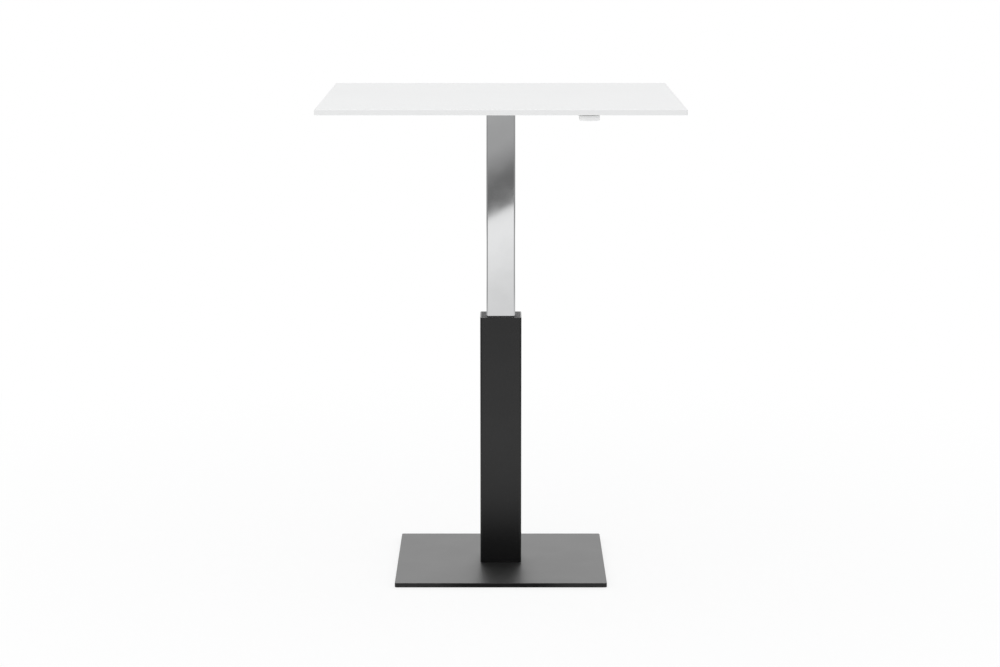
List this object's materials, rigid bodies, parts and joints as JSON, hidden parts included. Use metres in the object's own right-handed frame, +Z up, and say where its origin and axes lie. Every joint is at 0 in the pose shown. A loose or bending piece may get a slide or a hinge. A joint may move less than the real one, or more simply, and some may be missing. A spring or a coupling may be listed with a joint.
{
  "type": "telescoping pedestal table",
  "caption": "Square height-adjustable table: a white top on a bright square column that slides in a black square column on a flat base plate, with a release paddle under the front edge.",
  "frame": {"origin": "on the floor under the middle of the table", "axes": "+Z up, -Y the front edge with the release paddle, +X to the right seen from the front"},
  "size_m": [0.8, 0.8, 1.095],
  "materials": {
    "white_laminate": "satin",
    "white_plastic": "satin",
    "black_coat": "satin",
    "chrome": "polished",
    "plated_steel": "satin",
    "rod_steel": "polished",
    "cylinder_paint": "satin",
    "black_plastic": "satin",
    "alloy": "satin",
    "brass": "satin",
    "rubber": "matte"
  },
  "bodies": {
    "base": {"base_plate": "black_coat", "base_glides": "black_plastic", "lower_column": "black_coat", "column_foot": "plated_steel", "foot_bolts": "plated_steel", "guide_collar": "black_plastic", "gas_cylinder": "cylinder_paint", "cylinder_washer": "plated_steel", "cylinder_nut": "plated_steel", "cylinder_gland": "cylinder_paint", "rod_wiper": "rubber"},
    "upper": {"table_top": "white_laminate", "lever_housing": "white_plastic", "upper_column": "chrome", "top_plate": "chrome", "top_screws": "plated_steel", "guide_screws": "plated_steel", "rod_hanger": "plated_steel", "hanger_screws": "plated_steel", "rod_nut": "plated_steel", "piston_nut": "plated_steel", "rocker_pin": "plated_steel", "rocker_rings": "plated_steel", "cable_adjuster": "plated_steel", "adjuster_nuts": "plated_steel", "clip_screws": "plated_steel", "housing_screws": "plated_steel", "lever_pin": "plated_steel", "piston_rod": "rod_steel", "lower_guide": "black_plastic", "cable_clips": "black_plastic", "cable_sheath": "black_plastic", "piston": "alloy", "top_inserts": "brass", "piston_seal": "rubber"},
    "lever": {"lever_paddle": "white_plastic"},
    "rocker": {"release_rocker": "plated_steel"},
    "valve": {"valve_pin": "rod_steel"},
    "wire": {"cable_wire_front": "plated_steel", "cable_wire_rear": "plated_steel"}
  },
  "joints": [
    {"name": "height_slide", "type": "slide", "parent": "base", "child": "upper", "axis": [0, 0, 1], "range_m": [-0.37, 0]},
    {"name": "lever_lift", "type": "hinge", "parent": "upper", "child": "lever", "pos_m": [0.191, -0.332, 1.0775], "axis": [-1, 0, 0], "range_deg": [0, 6.5], "stiffness_Nm_per_rad": 0.3, "springref_deg": -17.19},
    {"name": "wire_pull", "type": "slide", "parent": "upper", "child": "wire", "axis": [0, -1, 0], "range_m": [0, 0.001]},
    {"name": "rocker_press", "type": "hinge", "parent": "upper", "child": "rocker", "pos_m": [0, 0.014, 1.0585], "axis": [1, 0, 0], "range_deg": [0, 5.3]},
    {"name": "valve_press", "type": "slide", "parent": "upper", "child": "valve", "axis": [0, 0, -1], "range_m": [0, 0.0013]}
  ],
  "couplings": [
    {"joint": "wire_pull", "follows": "lever_lift", "m_per_rad": 0.0085},
    {"joint": "rocker_press", "follows": "lever_lift", "ratio": 0.8095},
    {"joint": "valve_press", "follows": "lever_lift", "m_per_rad": 0.01133}
  ]
}
